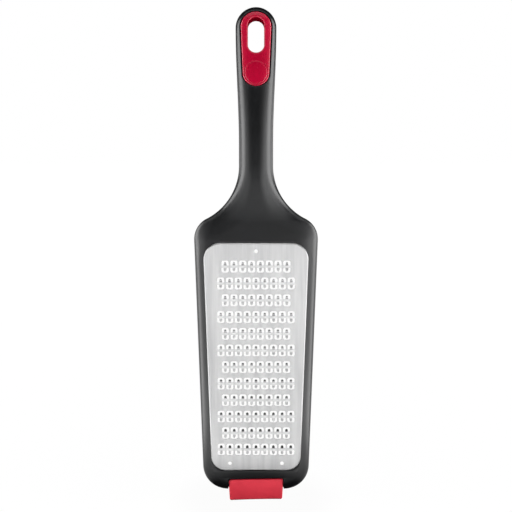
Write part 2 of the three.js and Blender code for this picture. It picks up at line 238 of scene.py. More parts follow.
# Places that follow from the sizes
MID_DEPTH = FRAME_DEPTH / 2
PLATE_END = END_BORDER
PLATE_TOP = PLATE_END + PLATE_LENGTH
PLATE_FACE = -PLATE_PROUD
PLATE_UNDER = PLATE_FACE + SHEET
SKIRT_END = PLATE_FACE + SKIRT_DEPTH
SIDE_SLOPE = (PLATE_TOP_WIDTH - PLATE_END_WIDTH) / 2 / PLATE_LENGTH
SIDE_TILT = math.atan(SIDE_SLOPE)
SIDE_STRETCH = math.hypot(1, SIDE_SLOPE)

plate_low, plate_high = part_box("grating_plate")
OFFSET = np.array([0.0, plate_high.y - SKIRT_END * MM, plate_low.z - PLATE_END * MM])


def placed(points):
    """Points of the drawing frame, in millimetres, as metres in the row frame."""
    return np.asarray(points, float) * MM + OFFSET


def lerp(a, b, t):
    return a + (b - a) * t


def smoothstep(x, low, high):
    t = min(max((x - low) / (high - low), 0.0), 1.0)
    return t * t * (3 - 2 * t)


def frame_side(z):
    """Half-width of the frame's straight side, one rail outside the plate."""
    return PLATE_END_WIDTH / 2 + (z - PLATE_END) * SIDE_SLOPE + RAIL_WIDTH * SIDE_STRETCH


END_ROUND_X = frame_side(FRAME_END_CORNER) - FRAME_END_CORNER * SIDE_STRETCH
SHOULDER_Z = PLATE_TOP + SHOULDER_RISE
SHOULDER_X = frame_side(SHOULDER_Z) - SHOULDER_RADIUS * SIDE_STRETCH
NECK_X = NECK_WIDTH / 2 + NECK_FILLET
NECK_Z = SHOULDER_Z + math.sqrt((NECK_FILLET + SHOULDER_RADIUS) ** 2 - (NECK_X - SHOULDER_X) ** 2)
SHOULDER_TURN = math.atan2(NECK_Z - SHOULDER_Z, NECK_X - SHOULDER_X)
GRIP_TOP = NECK_Z + GRIP_LENGTH
HANDLE_TIP = GRIP_TOP + HANDLE_END_RISE
SWELL_BASE = PLATE_TOP + SWELL_START
SWELL_TOP = SWELL_BASE + SWELL_LENGTH
BEND_BASE = PLATE_TOP + BEND_START


def half_width(z):
    """Half-width of the body's outline: end corner, side, shoulder, neck, grip and end."""
    if z < FRAME_END_CORNER * (1 - math.sin(SIDE_TILT)):
        return END_ROUND_X + math.sqrt(max(FRAME_END_CORNER**2 - (z - FRAME_END_CORNER) ** 2, 0))
    if z < SHOULDER_Z - SHOULDER_RADIUS * math.sin(SIDE_TILT):
        return frame_side(z)
    if z < SHOULDER_Z + SHOULDER_RADIUS * math.sin(SHOULDER_TURN):
        return SHOULDER_X + math.sqrt(SHOULDER_RADIUS**2 - (z - SHOULDER_Z) ** 2)
    if z < NECK_Z:
        return NECK_X - math.sqrt(NECK_FILLET**2 - (z - NECK_Z) ** 2)
    if z < GRIP_TOP:
        return lerp(NECK_WIDTH, HANDLE_END_WIDTH, smoothstep(z, NECK_Z + GRIP_STRAIGHT, GRIP_TOP)) / 2
    return HANDLE_END_WIDTH / 2 * math.sqrt(max(1 - ((z - GRIP_TOP) / HANDLE_END_RISE) ** 2, 0))


def slant_stretch(z):
    """How much wider an edge looks across the section where the outline runs aslant."""
    below = half_width(max(z - SLOPE_STEP, 0))
    return math.hypot(1, (half_width(z + SLOPE_STEP) - below) / (2 * SLOPE_STEP))


def spine(z):
    """Depth of the body's middle line, which bends back along the handle."""
    return MID_DEPTH + max(z - BEND_BASE, 0) ** 2 / (2 * BEND_RADIUS)


def half_depth(z):
    """Half the body's thickness along its middle line."""
    grown = lerp(FRAME_DEPTH, GRIP_THICKNESS, smoothstep(z, SWELL_BASE, SWELL_TOP))
    return lerp(grown, HANDLE_END_THICKNESS, smoothstep(z, SWELL_TOP, GRIP_TOP)) / 2


def round_over(distance, run):
    """Fall of a rounded edge: 1 on the rim, 0 once the run is behind."""
    inward = 1 - min(distance / run, 1)
    return 1 - math.sqrt(1 - inward**2)


def edge_fall(share, crown, blend):
    """Fall of a front or back edge from its inner line (share 0) to its rim (share 1)."""
    rolled = 1 - math.sqrt(1 - share**FRAME_EDGE_POWER)
    slanted = FRAME_SLANT * share**crown + (1 - FRAME_SLANT) * rolled
    return lerp(slanted, 1 - math.sqrt(1 - share**2), blend)


def section(z):
    """Half-width of the body's section, and each face's run, rim depth, fall, crown and blend."""
    width = max(half_width(z) - TRIM, LEAST_WIDTH)
    half = (half_depth(z) - TRIM) * (1 - round_over(max(HANDLE_TIP - z, 0), TIP_ROUND_RUN))
    blend_base = SHOULDER_Z + NECK_ROUND_START
    blend = smoothstep(z, blend_base, blend_base + NECK_ROUND_LENGTH)
    crown = smoothstep(z, PLATE_TOP - CROWN_START, SHOULDER_Z)
    widest = GRIP_ROUND * width
    stretch = slant_stretch(z)
    middle = spine(z)
    faces = {}
    for side, run, rise, bow, round_share in (
        (-1, lerp(FRAME_EDGE_RUN, CROWN_RUN, crown), FRAME_EDGE_RISE, 1 + crown, blend),
        (1, FRAME_BACK_EDGE, FRAME_BACK_EDGE, 1, 1),
    ):
        edge_run = min(lerp(run * stretch, widest, blend), widest)
        edge_rise = lerp(rise, GRIP_EDGE * half, blend)
        fall = edge_rise * (1 - round_over(max(z, 0), run))
        faces[side] = (edge_run, middle + side * (half - edge_rise), fall, bow, round_share)
    return width, faces


def face_depth(x, z, side):
    """Depth of the body's front (side -1) or back (side 1) at a point of its outline."""
    width, faces = section(min(max(z, 0), HANDLE_TIP))
    run, edge, fall, bow, blend = faces[side]
    share = min(max(abs(x) - (width - run), 0) / max(run, TINY), 1)
    return edge + side * fall * (1 - edge_fall(share, bow, blend))


# Meshes


def new_object(name, points, faces):
    mesh = bpy.data.meshes.new(name)
    mesh.from_pydata([tuple(p) for p in points], [], [tuple(f) for f in faces])
    mesh.validate()
    bm = bmesh.new()
    bm.from_mesh(mesh)
    bmesh.ops.recalc_face_normals(bm, faces=bm.faces)
    bm.to_mesh(mesh)
    bm.free()
    obj = bpy.data.objects.new(name, mesh)
    scene.collection.objects.link(obj)
    return obj


def skin(name, rings, closed_loop=False):
    """Mesh through rings of equally many points; its ends are capped unless the rings form a loop."""
    count = len(rings[0])
    points = placed(np.concatenate([np.asarray(r, float) for r in rings]))
    faces = []
    steps = len(rings) if closed_loop else len(rings) - 1
    for ring in range(steps):
        here = ring * count
        there = (ring + 1) % len(rings) * count
        for i in range(count):
            j = (i + 1) % count
            faces.append((here + i, here + j, there + j, there + i))
    if not closed_loop:
        last = (len(rings) - 1) * count
        faces.append(range(count))
        faces.append(range(last, last + count))
    return new_object(name, points, faces)


def apply_modifiers(obj):
    depsgraph = bpy.context.evaluated_depsgraph_get()
    mesh = bpy.data.meshes.new_from_object(obj.evaluated_get(depsgraph))
    obj.modifiers.clear()
    old = obj.data
    obj.data = mesh
    bpy.data.meshes.remove(old)


def combine(obj, tool, operation):
    """Cuts a tool from an object, or joins it on, and removes the tool."""
    boolean = obj.modifiers.new("combine", "BOOLEAN")
    boolean.operation = operation
    boolean.solver = "EXACT"
    boolean.object = tool
    apply_modifiers(obj)
    bpy.data.objects.remove(tool)


def shade(obj, degrees=CREASE):
    """Smooth shading, broken where faces meet at more than the angle."""
    bm = bmesh.new()
    bm.from_mesh(obj.data)
    bmesh.ops.dissolve_degenerate(bm, dist=CLOSED, edges=bm.edges)
    for face in bm.faces:
        face.smooth = True
    for edge in bm.edges:
        edge.smooth = len(edge.link_faces) == 2 and edge.calc_face_angle(0) < math.radians(degrees)
    bm.to_mesh(obj.data)
    bm.free()


def rounded_outline(top_width, end_width, top, end, top_corner, end_corner, inset):
    """Outline with slanting sides and round corners, clockwise from the front, as (x, z) points."""
    slope = (top_width - end_width) / 2 / (top - end)
    tilt = math.atan(slope)
    right = []
    for height, radius, start, stop in (
        (top - top_corner, top_corner, math.pi / 2, -tilt),
        (end + end_corner, end_corner, -tilt, -math.pi / 2),
    ):
        side = end_width / 2 + (height - end) * slope
        for angle in np.linspace(start, stop, CORNER_STEPS + 1):
            across = side - radius * math.hypot(1, slope) + (radius - inset) * math.cos(angle)
            right.append((across, height + (radius - inset) * math.sin(angle)))
    return right + [(-x, z) for x, z in reversed(right)]


def with_straights(outline):
    """The same outline with more points along its four straight edges."""
    points = []
    for i, point in enumerate(outline):
        points.append(point)
        if i % (CORNER_STEPS + 1) == CORNER_STEPS:
            after = outline[(i + 1) % len(outline)]
            for share in np.linspace(0, 1, STRAIGHT_POINTS + 2)[1:-1]:
                points.append((lerp(point[0], after[0], share), lerp(point[1], after[1], share)))
    return points


def plate_outline(inset):
    widths = (PLATE_TOP_WIDTH, PLATE_END_WIDTH)
    corners = (PLATE_TOP_CORNER, PLATE_END_CORNER)
    return rounded_outline(*widths, PLATE_TOP, PLATE_END, *corners, inset)


def ring_at(outline, depth):
    return [(x, depth, z) for x, z in outline]


def quarter(steps):
    """Angles of a quarter turn."""
    return np.linspace(0, math.pi / 2, steps + 1)


def rounding(size, steps):
    """Places round an edge from face to wall, as (distance from the wall, depth under the face)."""
    return [(size * (1 - math.sin(turn)), size * (1 - math.cos(turn))) for turn in quarter(steps)]


# Body


def turned(start, stop, count):
    """Sines of evenly spread angles, without the last one."""
    return np.sin(np.linspace(start, stop, count, endpoint=False))


def body_heights():
    """Heights of the body's sections: end, side, shoulder, neck, grip and tip."""
    side_top = SHOULDER_Z - SHOULDER_RADIUS * math.sin(SIDE_TILT)
    end = FRAME_END_CORNER * (1 + turned(-math.pi / 2, -SIDE_TILT, END_RINGS))
    side = np.linspace(end[-1] + SIDE_START, side_top, SIDE_RINGS, endpoint=False)
    turn = SHOULDER_Z + SHOULDER_RADIUS * turned(-SIDE_TILT, SHOULDER_TURN, SHOULDER_RINGS)
    neck = NECK_Z + NECK_FILLET * turned(-SHOULDER_TURN, 0, NECK_RINGS)
    grip = np.linspace(NECK_Z, GRIP_TOP, GRIP_RINGS, endpoint=False)
    tip = GRIP_TOP + HANDLE_END_RISE * turned(0, math.pi / 2, TIP_RINGS)
    return np.concatenate([end, side, turn, neck, grip, tip, [HANDLE_TIP - TIP_GAP]])


def body_ring(z):
    """One section of the body, from its right side round by the back."""
    width, faces = section(z)
    corners = {}
    for side, steps in ((1, BACK_STEPS), (-1, FRONT_STEPS)):
        run, edge, fall, bow, blend = faces[side]
        corners[side] = []
        for angle in quarter(steps):
            share = min(max(math.cos(angle), 0), 1)
            depth = edge + side * fall * (1 - edge_fall(share, bow, blend))
            corners[side].append((width - run * (1 - share), depth, z))
    mirrored = {side: [(-x, y, z) for x, y, z in points] for side, points in corners.items()}
    return corners[1] + mirrored[1][::-1] + mirrored[-1] + corners[-1][::-1]


def plate_seat():
    """Cutter for the plate's place: rounded front edge, groove for the rim, ledge and flared window."""
    rings = [ring_at(plate_outline(-PLATE_FIT - LIP), -CUT_MARGIN)]
    for out, deep in rounding(LIP, LIP_STEPS):
        rings.append(ring_at(plate_outline(-PLATE_FIT - out), deep))
    inner = SHEET + PLATE_FIT
    rings.append(ring_at(plate_outline(-PLATE_FIT), SKIRT_END + PLATE_FIT))
    rings.append(ring_at(plate_outline(inner), SKIRT_END + PLATE_FIT))
    rings.append(ring_at(plate_outline(inner), PLATE_UNDER + PLATE_FIT))
    rings.append(ring_at(plate_outline(LEDGE_WIDTH), PLATE_UNDER + PLATE_FIT))
    rings.append(ring_at(plate_outline(LEDGE_WIDTH), LEDGE_DEPTH))
    back = LEDGE_WIDTH - WINDOW_FLARE
    for out, deep in rounding(LIP, LIP_STEPS)[::-1]:
        rings.append(ring_at(plate_outline(back - out), FRAME_DEPTH - deep))
    rings.append(ring_at(plate_outline(back - LIP), FRAME_DEPTH + CUT_MARGIN))
    return skin("plate_seat", rings)


def foot_notch():
    width = FOOT_TOP_WIDTH + 2 * FOOT_SIDE_GAP
    outline = rounded_outline(width, width, NOTCH_DEPTH, -FOOT_REACH, NOTCH_CORNER, NOTCH_CORNER, 0)
    depths = (-CUT_MARGIN, FRAME_DEPTH + CUT_MARGIN)
    return skin("foot_notch", [ring_at(outline, depth) for depth in depths])


def tongue(outset):
    """Tongue inside the foot, and its root, which is as wide as the notch."""
    half = TONGUE_THICKNESS / 2 + outset
    wide = FOOT_TOP_WIDTH / 2 + FOOT_SIDE_GAP + ROOT_SINK
    narrow = TONGUE_WIDTH / 2 + outset
    top = NOTCH_DEPTH + ROOT_DEPTH
    low = ROOT_RISE - outset
    right = [(wide, top), (wide, low), (narrow, low), (narrow, -TONGUE_REACH - outset)]
    outline = right + [(-x, z) for x, z in reversed(right)]
    return skin("tongue", [ring_at(outline, MID_DEPTH - half), ring_at(outline, MID_DEPTH + half)])


# Hanging slot, in a frame at its centre that leans with the handle

SLOT_Z = HANDLE_TIP - SLOT_TOP_MARGIN - SLOT_LENGTH / 2
SLOT_Y = spine(SLOT_Z)
SLOT_LEAN = math.atan((SLOT_Z - BEND_BASE) / BEND_RADIUS)
LEAN_COS = math.cos(SLOT_LEAN)
LEAN_SIN = math.sin(SLOT_LEAN)
SLOT_HALF = half_depth(SLOT_Z)
INSERT_TOP = HANDLE_TIP - INSERT_TOP_MARGIN - SLOT_Z
FLANGE_SEAT = -SLOT_HALF + FLANGE_THICKNESS
SPOT_HEIGHT = INSERT_TOP - INSERT_LENGTH + INSERT_END_RADIUS


def leaning(points):
    """Points given as (across, depth, height) at the slot, in the drawing frame."""
    turned_back = []
    for x, depth, height in points:
        y = SLOT_Y + depth * LEAN_COS + height * LEAN_SIN
        z = SLOT_Z - depth * LEAN_SIN + height * LEAN_COS
        turned_back.append((x, y, z))
    return turned_back


def in_slot(point):
    """Whether a point of the row frame lies on the slot's wall."""
    x, y, z = (np.array(point) - OFFSET) / MM
    height = (y - SLOT_Y) * LEAN_SIN + (z - SLOT_Z) * LEAN_COS
    reach = (SLOT_LENGTH - SLOT_WIDTH) / 2
    return math.hypot(x, max(abs(height) - reach, 0)) < SLOT_WIDTH / 2 + SLOT_FLARE * WALL_SHARE


def skin_depth(x, height, side):
    """Depth, at the slot, of the body's front or back over a point of the slot's plane."""
    depth = side * SLOT_HALF
    for _ in range(SETTLE_ROUNDS):
        y = face_depth(x, SLOT_Z - depth * LEAN_SIN + height * LEAN_COS, side)
        depth = lerp(depth, (y - SLOT_Y - height * LEAN_SIN) / LEAN_COS, SETTLE_SHARE)
    return depth


def capsule(top_radius, end_radius, top_height, end_height):
    """Two round ends joined by their tangents, as points spread evenly from the top, clockwise."""
    lean = math.asin((top_radius - end_radius) / (top_height - end_height))
    top = np.linspace(math.pi / 2, -lean, ARC_POINTS)
    end = np.linspace(-lean, -math.pi / 2, ARC_POINTS)
    x = np.concatenate([top_radius * np.cos(top), end_radius * np.cos(end)])
    h = np.concatenate([top_height + top_radius * np.sin(top), end_height + end_radius * np.sin(end)])
    run = np.concatenate([[0], np.cumsum(np.hypot(np.diff(x), np.diff(h)))])
    at = np.linspace(0, run[-1], CAPSULE_POINTS // 2 + 1)
    right = list(zip(np.interp(at, run, x), np.interp(at, run, h)))
    return right + [(-a, b) for a, b in reversed(right[1:-1])]


def insert_outline(outset):
    top_height = INSERT_TOP - INSERT_TOP_RADIUS
    return capsule(INSERT_TOP_RADIUS + outset, INSERT_END_RADIUS + outset, top_height, SPOT_HEIGHT)


def slot_outline(outset):
    radius = SLOT_WIDTH / 2
    reach = SLOT_LENGTH / 2 - radius
    return capsule(radius + outset, radius + outset, reach, -reach)


def on_skin(outline, below, side=-1):
    """Ring that follows the body's face, some way below it."""
    return leaning([(x, skin_depth(x, h, side) - side * below, h) for x, h in outline])


def at_depth(outline, depth):
    return leaning([(x, depth, h) for x, h in outline])


def insert_pocket():
    """Cutter for the insert: a pocket with a rounded, rebated edge, and a way through for the sleeve."""
    wide = INSERT_FIT + SHADOW_GAP
    rings = [at_depth(insert_outline(wide + LIP), -SLOT_HALF - CUT_MARGIN)]
    for out, deep in rounding(LIP, LIP_STEPS):
        rings.append(on_skin(insert_outline(wide + out), deep))
    rings.append(on_skin(insert_outline(wide), SHADOW_DEPTH))
    rings.append(on_skin(insert_outline(INSERT_FIT), SHADOW_DEPTH))
    rings.append(at_depth(insert_outline(INSERT_FIT), FLANGE_SEAT + INSERT_FIT))
    sleeve = SLEEVE_WALL + INSERT_FIT
    rings.append(at_depth(slot_outline(sleeve), FLANGE_SEAT + INSERT_FIT))
    for out, deep in rounding(LIP, LIP_STEPS)[::-1]:
        rings.append(on_skin(slot_outline(sleeve + out), deep, 1))
    rings.append(at_depth(slot_outline(sleeve + LIP), SLOT_HALF + CUT_MARGIN))
    return skin("insert_pocket", rings)


def make_body():
    """Handle and frame in one, with the places for the other three pieces cut into it."""
    body = skin("handle_and_frame", [body_ring(z) for z in body_heights()])
    combine(body, plate_seat(), "DIFFERENCE")
    combine(body, insert_pocket(), "DIFFERENCE")
    combine(body, foot_notch(), "DIFFERENCE")
    combine(body, tongue(0), "UNION")
    shade(body)
    return body


# Insert


def make_insert():
    """Flange flush with the handle's face, sleeve through to its back, and a bare round spot."""
    outer = np.array(insert_outline(0))
    inner = np.array(slot_outline(SLOT_FLARE))
    rings = [at_depth(outer, FLANGE_SEAT)]
    for inset, deep in rounding(INSERT_EDGE, EDGE_STEPS)[::-1]:
        rings.append(on_skin(insert_outline(-inset), deep))
    edge = np.array(insert_outline(-INSERT_EDGE))
    for share in np.linspace(0, 1, FACE_RINGS + 1)[1:]:
        rings.append(on_skin(lerp(edge, inner, share), 0))
    for outset, deep in rounding(SLOT_FLARE, EDGE_STEPS)[1:]:
        rings.append(on_skin(slot_outline(outset), deep))
    rings.append(at_depth(slot_outline(0), 0))
    for outset, deep in rounding(SLOT_BACK_FLARE, EDGE_STEPS)[::-1]:
        rings.append(on_skin(slot_outline(outset), deep, 1))
    rings.append(on_skin(slot_outline(SLEEVE_WALL), 0, 1))
    rings.append(at_depth(slot_outline(SLEEVE_WALL), FLANGE_SEAT))
    insert = skin("hanging_insert_red", rings, closed_loop=True)
    combine(insert, spot_groove(), "DIFFERENCE")
    shade(insert)
    # The slot's wall takes the darker red of painted shade
    for face in insert.data.polygons:
        if in_slot(face.center):
            face.material_index = SLOT_WALL_SHADE
        # Rims turned partly to the front take the lighter red of a painted highlight
        elif -RIM_TURN < face.normal.y < 0:
            face.material_index = INSERT_RIM_HIGHLIGHT
    return insert


def circle(radius, height, count=CIRCLE_POINTS):
    turn = np.linspace(0, 2 * math.pi, count, endpoint=False)
    return list(zip(radius * np.sin(turn), height + radius * np.cos(turn)))


def spot_groove():
    """Cutter for the groove that marks off the bare round spot."""
    outer = SPOT_RADIUS + SPOT_GROOVE
    front = -SLOT_HALF - CUT_MARGIN
    rings = [at_depth(circle(outer + SPOT_LIP, SPOT_HEIGHT), front)]
    for out, deep in rounding(SPOT_LIP, GROOVE_STEPS):
        rings.append(on_skin(circle(outer + out, SPOT_HEIGHT), deep))
    rings.append(on_skin(circle(outer, SPOT_HEIGHT), SPOT_DEPTH))
    rings.append(on_skin(circle(SPOT_RADIUS, SPOT_HEIGHT), SPOT_DEPTH))
    for out, deep in rounding(SPOT_LIP, GROOVE_STEPS)[::-1]:
        rings.append(on_skin(circle(SPOT_RADIUS - out, SPOT_HEIGHT), deep))
    rings.append(at_depth(circle(SPOT_RADIUS - SPOT_LIP, SPOT_HEIGHT), front))
    return skin("spot_groove", rings, closed_loop=True)


# Grating plate


def cell_centres():
    """Rows of two lengths by turns, the shorter one first."""
    centres = []
    for row in range(ROWS):
        cells = LONG_ROW - 1 + row % 2
        height = PLATE_TOP - FIRST_ROW_DROP - row * ROW_PITCH
        for i in range(cells):
            centres.append(((i - (cells - 1) / 2) * CELL_PITCH, height))
    return centres


def hole_arc(side):
    """One punched hole above (side 1) or below (side -1) the bridge, from right to left corner."""
    half = HOLE_WIDTH / 2
    near = BRIDGE_HEIGHT / 2
    turn = near + HOLE_HEIGHT - HOLE_CORNER
    right = [(half, near)]
    for angle in quarter(HOLE_STEPS):
        across = half - HOLE_CORNER * (1 - math.cos(angle))
        right.append((across, turn + HOLE_CORNER * math.sin(angle)))
    points = right + [(-x, z) for x, z in reversed(right)]
    return [(x, side * z) for x, z in points]


def tooth_lift(x, z):
    """How far the bridge and its two teeth stand out of the plate; each tooth rises to its tip."""
    arch = BRIDGE_CROWN * math.cos(math.pi / 2 * min(abs(x) / (HOLE_WIDTH / 2), 1)) ** 2
    out = max(abs(z) - BRIDGE_HEIGHT / 2, 0) / TOOTH_REACH
    return arch + (TOOTH_RISE - BRIDGE_CROWN) * out * (1 + TOOTH_CURL * (out - 1))


def bridge_grid():
    """Points of a bridge and its two teeth, in columns from right to left and rows from top to end."""
    near = BRIDGE_HEIGHT / 2
    half = TOOTH_WIDTH / 2
    right = np.linspace(HOLE_WIDTH / 2, half, BRIDGE_SIDE_COLUMNS, endpoint=False)
    tooth = half * np.cos(np.linspace(0, math.pi, TOOTH_COLUMNS + 1))
    grid = []
    for x in [*right, *tooth, *-right[::-1]]:
        reach = TOOTH_REACH * max(1 - (abs(x) / half) ** TOOTH_POWER, 0) ** (1 / TOOTH_POWER)
        upper = [near + reach * share for share in np.linspace(1, 0, TOOTH_ROWS, endpoint=False)]
        middle = list(np.linspace(near, -near, BRIDGE_ROWS + 1))
        heights = upper + middle + [-z for z in reversed(upper)]
        if reach == 0:
            heights = list(np.linspace(near, -near, len(heights)))
        grid.append([(x, tooth_lift(x, z), z) for z in heights])
    return grid


def add_cell(bm, centre, fronts, backs):
    """Opens one cell and spans it with its bridge. The bridge and lower tooth take the lighter steel of
    painted light, the upper tooth the darker steel of painted shade.
    """
    cx, cz = centre

    def pair(x, lift, z):
        front = bm.verts.new(placed((cx + x, PLATE_FACE - lift, cz + z)))
        back = bm.verts.new(placed((cx + x, PLATE_UNDER - lift, cz + z)))
        return front, back

    points = bridge_grid()
    grid = [[pair(*point) for point in column] for column in points]
    upper = [grid[0][0]] + [pair(x, 0, z) for x, z in hole_arc(1)[1:-1]] + [grid[-1][0]]
    lower = [grid[0][-1]] + [pair(x, 0, z) for x, z in hole_arc(-1)[1:-1]] + [grid[-1][-1]]
    for arc in (upper, lower):
        for (f0, b0), (f1, b1) in zip(arc, arc[1:]):
            bm.faces.new((f0, f1, b1, b0))
    for column, (left, right) in enumerate(zip(grid, grid[1:])):
        for i in range(len(left) - 1):
            front = bm.faces.new((left[i][0], left[i + 1][0], right[i + 1][0], right[i][0]))
            bm.faces.new((left[i][1], right[i][1], right[i + 1][1], left[i + 1][1]))
            top = max(points[column][i][2], points[column + 1][i][2])
            over_bridge = top > BRIDGE_HEIGHT / 2 + TOOTH_START
            # Faces over the bridge take the steel of painted shade, the rest the steel of painted light
            front.material_index = UPPER_TOOTH_SHADE if over_bridge else LOWER_TOOTH_LIGHT
    for row in (0, -1):
        tips = [column[row] for column in grid]
        for (f0, b0), (f1, b1) in zip(tips, tips[1:]):
            bm.faces.new((f0, b0, b1, f1))
    loop = upper + grid[-1][1:-1] + lower[::-1] + grid[0][1:-1][::-1]
    fronts.append([front for front, _ in loop])
    backs.append([back for _, back in loop])


def add_pin_hole(bm, x, z, fronts, backs):
    """Opens one of the round holes where a mould pin held the plate."""
    ring = [(x + dx, z + dz) for dx, dz in circle(PIN_RADIUS, 0, PIN_POINTS)]
    front = [bm.verts.new(placed((a, PLATE_FACE, b))) for a, b in ring]
    back = [bm.verts.new(placed((a, PLATE_UNDER, b))) for a, b in ring]
    for i in range(len(ring)):
        j = (i + 1) % len(ring)
        bm.faces.new((front[i], front[j], back[j], back[i]))
    fronts.append(front)
    backs.append(back)


def fill_between(bm, loops, normal):
    """Fills the flat sheet between its rim and its holes."""
    edges = []
    for loop in loops:
        for a, b in zip(loop, loop[1:] + loop[:1]):
            edges.append(bm.edges.get((a, b)) or bm.edges.new((a, b)))
    bmesh.ops.triangle_fill(bm, use_beauty=True, edges=edges, normal=normal)


def keep_flat(plate):
    """Sharp edges round the flat sheet, so that the slopes beside it leave its shading even."""
    bm = bmesh.new()
    bm.from_mesh(plate.data)
    for edge in bm.edges:
        flat = [abs(face.normal.y) > FLAT_TURN for face in edge.link_faces]
        if any(flat) and not all(flat):
            edge.smooth = False
    bm.to_mesh(plate.data)
    bm.free()


def make_plate():
    """Sheet with its rim turned down, its cells and its pin holes."""
    bm = bmesh.new()
    rings = []
    for inset, deep in rounding(RIM_ROLL, EDGE_STEPS):
        rings.append(ring_at(plate_outline(inset), PLATE_FACE + deep))
    rings.append(ring_at(plate_outline(0), SKIRT_END))
    rings.append(ring_at(plate_outline(SHEET), SKIRT_END))
    for inset, deep in rounding(RIM_ROLL - SHEET, GROOVE_STEPS)[::-1]:
        rings.append(ring_at(plate_outline(SHEET + inset), PLATE_UNDER + deep))
    rows = [[bm.verts.new(p) for p in placed(ring)] for ring in rings]
    for here, there in zip(rows, rows[1:]):
        for i in range(len(here)):
            j = (i + 1) % len(here)
            bm.faces.new((here[i], here[j], there[j], there[i]))
    fronts, backs = [rows[0]], [rows[-1]]
    for centre in cell_centres():
        add_cell(bm, centre, fronts, backs)
    for x, z in (
        (0, PLATE_TOP - TOP_PIN_DROP),
        (END_PIN_SPREAD / 2, PLATE_END + END_PIN_RISE),
        (-END_PIN_SPREAD / 2, PLATE_END + END_PIN_RISE),
    ):
        add_pin_hole(bm, x, z, fronts, backs)
    fill_between(bm, fronts, (0, -1, 0))
    fill_between(bm, backs, (0, 1, 0))
    bmesh.ops.recalc_face_normals(bm, faces=bm.faces)
    mesh = bpy.data.meshes.new("toothed_plate")
    bm.to_mesh(mesh)
    bm.free()
    plate = bpy.data.objects.new("toothed_plate", mesh)
    scene.collection.objects.link(plate)
    shade(plate, PLATE_CREASE)
    keep_flat(plate)
    return plate


# Foot


def foot_outline(inset):
    """Outline of the foot, which sits a little aslant and is slightly hollow along its lower edge."""
    top = NOTCH_DEPTH - FOOT_GAP
    widths = (FOOT_TOP_WIDTH, FOOT_END_WIDTH)
    outline = rounded_outline(*widths, top, -FOOT_REACH, FOOT_CORNER, FOOT_CORNER, inset)
    lift = FOOT_SLANT * FOOT_END_WIDTH / 2
    shaped = []
    for x, z in with_straights(outline):
        low = smoothstep(z, top, -FOOT_REACH)
        hollow = FOOT_HOLLOW * (1 - (2 * x / FOOT_END_WIDTH) ** 2)
        shaped.append((x, z + lerp(0, lift + hollow, low) + FOOT_SLANT * x))
    return shaped


def make_foot():
    """Boot with rounded edges, hollow to fit the tongue."""
    edge = rounding(FOOT_ROUND, EDGE_STEPS)
    rings = []
    for facing, places in ((-1, edge), (1, edge[::-1])):
        for inset, deep in places:
            depth = MID_DEPTH + facing * (FOOT_THICKNESS / 2 - deep)
            rings.append(ring_at(foot_outline(inset), depth))
    foot = skin("soft_foot", rings)
    combine(foot, tongue(TONGUE_FIT), "DIFFERENCE")
    shade(foot)
    return foot


# Materials: scales of noise per metre, the bands of it that count, and depths in metres

PATCH_BAND = (0.35, 0.65)
GLOSS_BAND = (0.3, 0.7)
CLOUD_SCALE = 60
GLOSS_SCALE = 400
CLOUD_DETAIL = 4
GRAIN_DETAIL = 2
GRAIN_STRENGTH = 0.3
WEAR_SCALE = 220
WEAR_DETAIL = 5
WEAR_LEAST = 0.2
PLASTIC_WEAR = (0.53, 0.60)
PLASTIC_WORN_ROUGH = 0.06
STEEL_WEAR = (0.54, 0.64)
STEEL_WORN_ROUGH = -0.06
STREAK_STRETCH = (2600, 2600, 45)
STREAK_DETAIL = 6
STREAK_SHARE = 0.6
STREAK_BAND = (0.25, 0.75)
STREAK_STRENGTH = 0.12
STREAK_DEPTH = 0.00002
BROAD_STRETCH = (260, 260, 18)
BROAD_DETAIL = 2
BROAD_SHARE = 0.4

# Colours: dark and light for the steels; dark, light and worn for the plastics
STEEL_SHEET = ((0.36, 0.36, 0.365), (0.47, 0.47, 0.47))
# The upper teeth's darker steel is painted shade, the bridges' and lower teeth's lighter steel painted
# light, on the sheet's own metal
STEEL_PAINTED_SHADE = ((0.26, 0.26, 0.265), (0.35, 0.35, 0.35))
STEEL_PAINTED_LIGHT = ((0.43, 0.43, 0.435), (0.55, 0.55, 0.55))
STEEL_WORN = (0.60, 0.60, 0.60)
BLACK = ((0.0014, 0.0016, 0.0021), (0.0022, 0.0025, 0.0033), (0.008, 0.008, 0.009))
RED_GLOSS = ((0.27, 0.0005, 0.017), (0.32, 0.0015, 0.022), (0.42, 0.012, 0.042))
# Lighter red on the insert's rounded rims: a painted highlight
RED_RIM_PAINTED_HIGHLIGHT = ((0.38, 0.008, 0.032), (0.43, 0.012, 0.040), (0.52, 0.03, 0.07))
# Darker red on the slot's wall: painted shade in the recess
RED_WALL_PAINTED_SHADE = ((0.20, 0.0005, 0.009), (0.24, 0.001, 0.012), (0.30, 0.003, 0.02))
RED_SOFT = ((0.70, 0.024, 0.050), (0.78, 0.032, 0.060), (0.82, 0.05, 0.08))

# Roughness from its least to its most, and how far the brushing draws out the lights
BRUSHED_ROUGH = (0.44, 0.54)
UPPER_ROUGH = (0.22, 0.30)
BLACK_ROUGH = (0.29, 0.35)
GLOSS_ROUGH = (0.24, 0.28)
RIM_ROUGH = (0.20, 0.24)
WALL_ROUGH = (0.55, 0.65)
SOFT_ROUGH = (0.5, 0.6)
BRUSHED = 0.9
UNBRUSHED = 0.0

# Moulded grain, as scale and depth, and the strength of each plastic's surface shine
BLACK_GRAIN = (2600, 0.000015)
GLOSS_GRAIN = (1800, 0.000001)
WALL_GRAIN = (1800, 0.00003)
SOFT_GRAIN = (3200, 0.00004)
PLAIN_SHINE = 0.5
GLOSS_SHINE = 0.25
RIM_SHINE = 0.55
WALL_SHINE = 0.0


